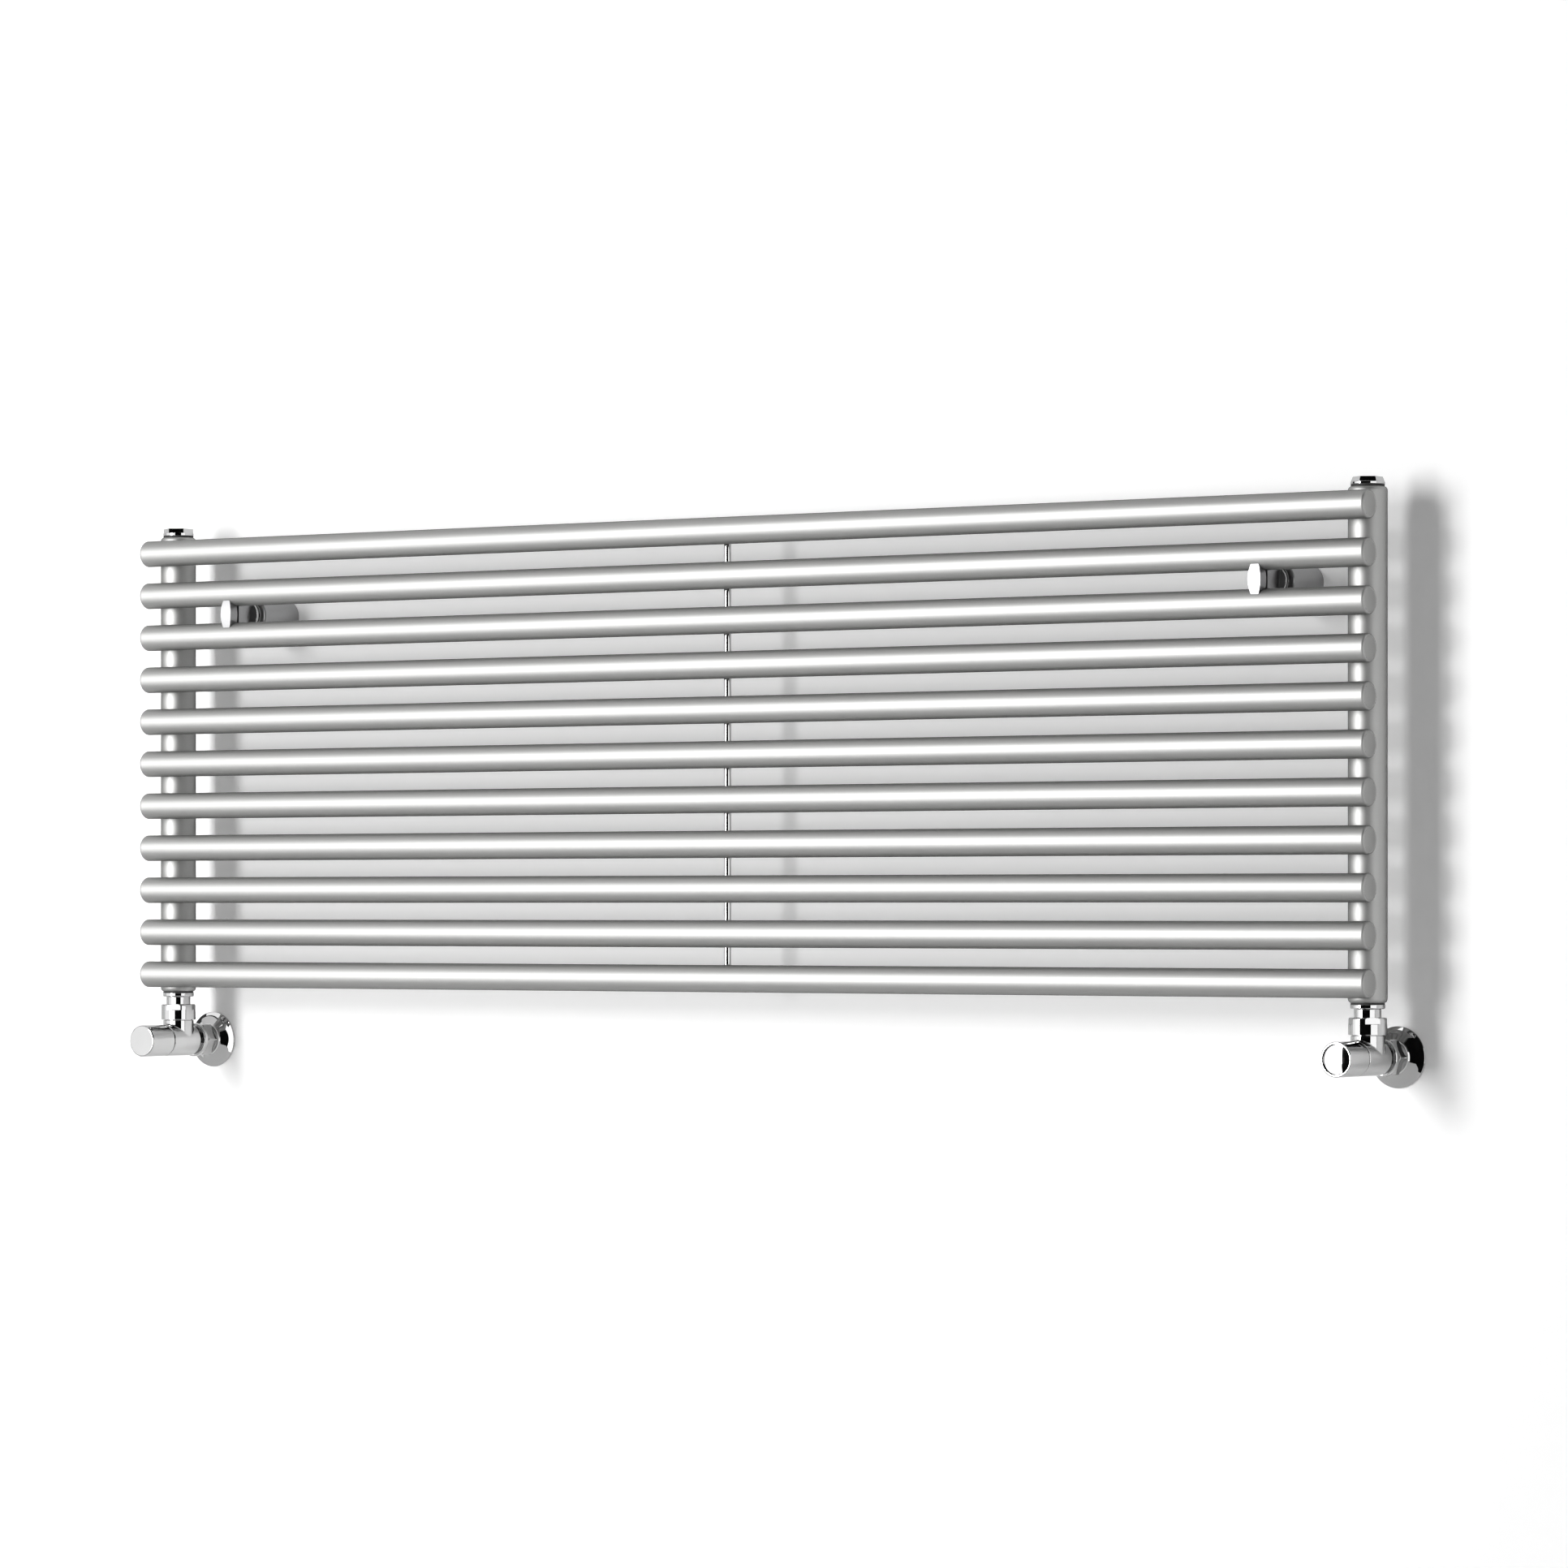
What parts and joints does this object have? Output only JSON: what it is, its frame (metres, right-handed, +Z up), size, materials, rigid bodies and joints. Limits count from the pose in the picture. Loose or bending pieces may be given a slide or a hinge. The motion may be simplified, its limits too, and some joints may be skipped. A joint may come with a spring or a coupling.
{
  "type": "tubular wall radiator",
  "caption": "Low, wide wall radiator of round horizontal tubes on vertical collectors, with clamp brackets, a chrome hand valve, a lockshield valve under a cap, and wall rosettes.",
  "frame": {"origin": "on the wall, midway between the two bracket screws", "axes": "+X along the tubes to the hand valve's side, +Y into the wall, +Z up"},
  "size_m": [1.2174, 0.0955, 0.4626],
  "materials": {
    "silver_paint": "satin silver paint",
    "chrome": "polished chrome plate",
    "black_rubber": "matte",
    "brass": "machined",
    "satin_steel": "satin"
  },
  "bodies": {
    "radiator": {"tube_01": "silver_paint", "tube_02": "silver_paint", "tube_03": "silver_paint", "tube_04": "silver_paint", "tube_05": "silver_paint", "tube_06": "silver_paint", "tube_07": "silver_paint", "tube_08": "silver_paint", "tube_09": "silver_paint", "tube_10": "silver_paint", "tube_11": "silver_paint", "collector_left": "silver_paint", "collector_right": "silver_paint", "collector_bushes": "silver_paint", "stiffener_rod": "chrome", "blanking_plug": "chrome", "vent_plug": "chrome", "valve_tail_left": "chrome", "union_nut_left": "chrome", "valve_body_left": "chrome", "compression_nut_left": "chrome", "rosette_left": "chrome", "bracket_collar_left": "chrome", "valve_tail_right": "chrome", "union_nut_right": "chrome", "valve_body_right": "chrome", "compression_nut_right": "chrome", "rosette_right": "chrome", "bracket_collar_right": "chrome", "plug_gaskets": "black_rubber", "tail_gaskets": "black_rubber", "union_seals": "black_rubber", "headwork_seals": "black_rubber", "olives": "brass", "headwork_left": "brass", "headwork_right": "brass", "grub_screws": "satin_steel", "wall_cup_left": "satin_steel", "clamp_seat_left": "satin_steel", "clamp_cap_left": "satin_steel", "clamp_stud_left": "satin_steel", "wall_cup_right": "satin_steel", "clamp_seat_right": "satin_steel", "clamp_cap_right": "satin_steel", "clamp_stud_right": "satin_steel"},
    "handwheel": {"handwheel": "chrome", "handwheel_face": "chrome", "handwheel_screw": "satin_steel", "drive_stub_right": "brass"},
    "stem_right": {"valve_stem_right": "brass", "stem_washer_right": "black_rubber"},
    "lockshield": {"drive_stub_left": "brass"},
    "stem_left": {"valve_stem_left": "brass", "stem_washer_left": "black_rubber"},
    "cover_cap": {"cover_cap": "chrome"},
    "vent_screw": {"vent_screw": "satin_steel"}
  },
  "joints": [
    {"name": "handwheel_turn", "type": "hinge", "parent": "radiator", "child": "handwheel", "pos_m": [0.585, -0.047, -0.3627], "axis": [0, -1, 0], "range_deg": [0, 1080]},
    {"name": "stem_travel_right", "type": "slide", "parent": "handwheel", "child": "stem_right", "axis": [0, -1, 0], "range_m": [0, 0.00375]},
    {"name": "lockshield_turn", "type": "hinge", "parent": "radiator", "child": "lockshield", "pos_m": [-0.585, -0.047, -0.3627], "axis": [0, -1, 0], "range_deg": [0, 1080]},
    {"name": "stem_travel_left", "type": "slide", "parent": "lockshield", "child": "stem_left", "axis": [0, -1, 0], "range_m": [0, 0.00375]},
    {"name": "cover_cap_pull", "type": "slide", "parent": "radiator", "child": "cover_cap", "axis": [0, -1, 0], "range_m": [0, 0.03]},
    {"name": "vent_screw_turn", "type": "hinge", "parent": "radiator", "child": "vent_screw", "pos_m": [-0.585, -0.047, 0.07], "axis": [0, 0, 1], "range_deg": [0, 540]}
  ],
  "couplings": [
    {"joint": "stem_travel_right", "follows": "handwheel_turn", "m_per_rad": 0.00019894},
    {"joint": "stem_travel_left", "follows": "lockshield_turn", "m_per_rad": 0.00019894}
  ]
}
